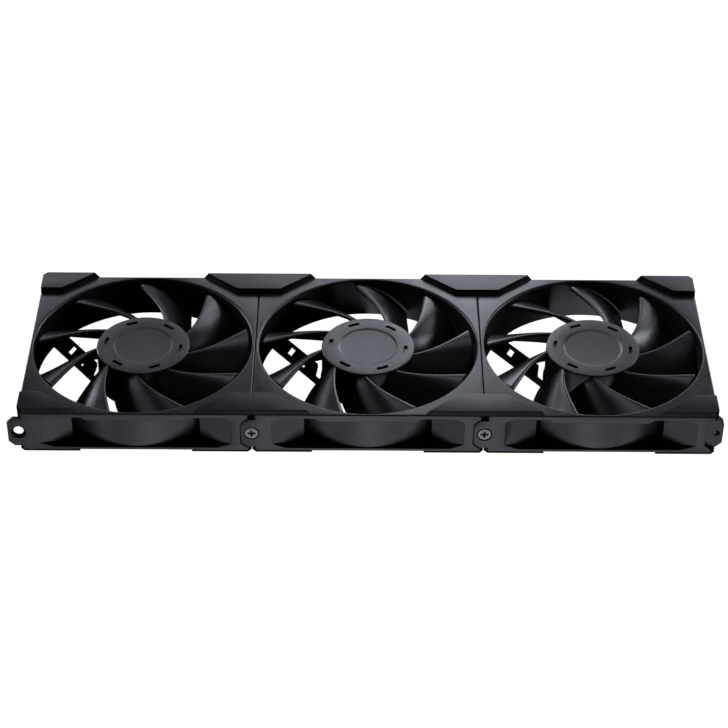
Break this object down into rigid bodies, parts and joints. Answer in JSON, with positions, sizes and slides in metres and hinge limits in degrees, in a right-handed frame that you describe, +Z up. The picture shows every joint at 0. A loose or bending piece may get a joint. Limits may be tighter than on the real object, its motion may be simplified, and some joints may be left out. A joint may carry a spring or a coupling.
{
  "type": "radiator fan bank",
  "caption": "Bank of linked flat cooling fans with swept-blade impellers, stator arms, corner pads and screwed link tabs, made to push air through a liquid-cooling radiator.",
  "frame": {"origin": "middle of the bank, on the plane its outlet-side pads rest on", "axes": "+X along the bank towards the fan with the free screw lug, -Y towards the side with the link screws, +Z up towards the air inlet"},
  "size_m": [0.3687, 0.1196, 0.028],
  "materials": {
    "frame_plastic": "fine moulded texture, satin black",
    "blade_plastic": "smooth satin black",
    "pad_rubber": "matt black",
    "zinc_steel": "zinc-plated, satin",
    "yoke_steel": "deep-drawn, satin",
    "ferrite": "dull dark grey",
    "core_steel": "stacked laminations",
    "winding_copper": "enamelled copper wire",
    "board_green": "solder mask",
    "bearing_bronze": "sintered bronze",
    "cap_plastic": "matt dark grey"
  },
  "bodies": {
    "bank": {"frame_left": "frame_plastic", "bearing_sleeve_left": "bearing_bronze", "stator_core_left": "core_steel", "stator_winding_left": "winding_copper", "circuit_board_left": "board_green", "underside_cap_left": "cap_plastic", "frame_centre": "frame_plastic", "bearing_sleeve_centre": "bearing_bronze", "stator_core_centre": "core_steel", "stator_winding_centre": "winding_copper", "circuit_board_centre": "board_green", "underside_cap_centre": "cap_plastic", "frame_right": "frame_plastic", "bearing_sleeve_right": "bearing_bronze", "stator_core_right": "core_steel", "stator_winding_right": "winding_copper", "circuit_board_right": "board_green", "underside_cap_right": "cap_plastic", "inlet_pad_front_left": "pad_rubber", "inlet_pad_front_right": "pad_rubber", "inlet_bridge_pad_front_1": "pad_rubber", "inlet_bridge_pad_front_2": "pad_rubber", "outlet_pad_front_left_l": "pad_rubber", "outlet_pad_front_left_r": "pad_rubber", "outlet_pad_front_centre_l": "pad_rubber", "outlet_pad_front_centre_r": "pad_rubber", "outlet_pad_front_right_l": "pad_rubber", "outlet_pad_front_right_r": "pad_rubber", "inlet_pad_rear_left": "pad_rubber", "inlet_pad_rear_right": "pad_rubber", "inlet_bridge_pad_rear_1": "pad_rubber", "inlet_bridge_pad_rear_2": "pad_rubber", "outlet_pad_rear_left_l": "pad_rubber", "outlet_pad_rear_left_r": "pad_rubber", "outlet_pad_rear_centre_l": "pad_rubber", "outlet_pad_rear_centre_r": "pad_rubber", "outlet_pad_rear_right_l": "pad_rubber", "outlet_pad_rear_right_r": "pad_rubber", "link_screw_1": "zinc_steel", "link_screw_2": "zinc_steel"},
    "rotor_left": {"impeller_left": "blade_plastic", "rotor_yoke_left": "yoke_steel", "magnet_ring_left": "ferrite", "shaft_left": "zinc_steel", "retaining_washer_left": "zinc_steel"},
    "rotor_centre": {"impeller_centre": "blade_plastic", "rotor_yoke_centre": "yoke_steel", "magnet_ring_centre": "ferrite", "shaft_centre": "zinc_steel", "retaining_washer_centre": "zinc_steel"},
    "rotor_right": {"impeller_right": "blade_plastic", "rotor_yoke_right": "yoke_steel", "magnet_ring_right": "ferrite", "shaft_right": "zinc_steel", "retaining_washer_right": "zinc_steel"}
  },
  "joints": [
    {"name": "spin_left", "type": "hinge", "parent": "bank", "child": "rotor_left", "pos_m": [-0.12, 0, 0], "axis": [0, 0, 1], "continuous": true},
    {"name": "spin_centre", "type": "hinge", "parent": "bank", "child": "rotor_centre", "pos_m": [0, 0, 0], "axis": [0, 0, 1], "continuous": true},
    {"name": "spin_right", "type": "hinge", "parent": "bank", "child": "rotor_right", "pos_m": [0.12, 0, 0], "axis": [0, 0, 1], "continuous": true}
  ]
}
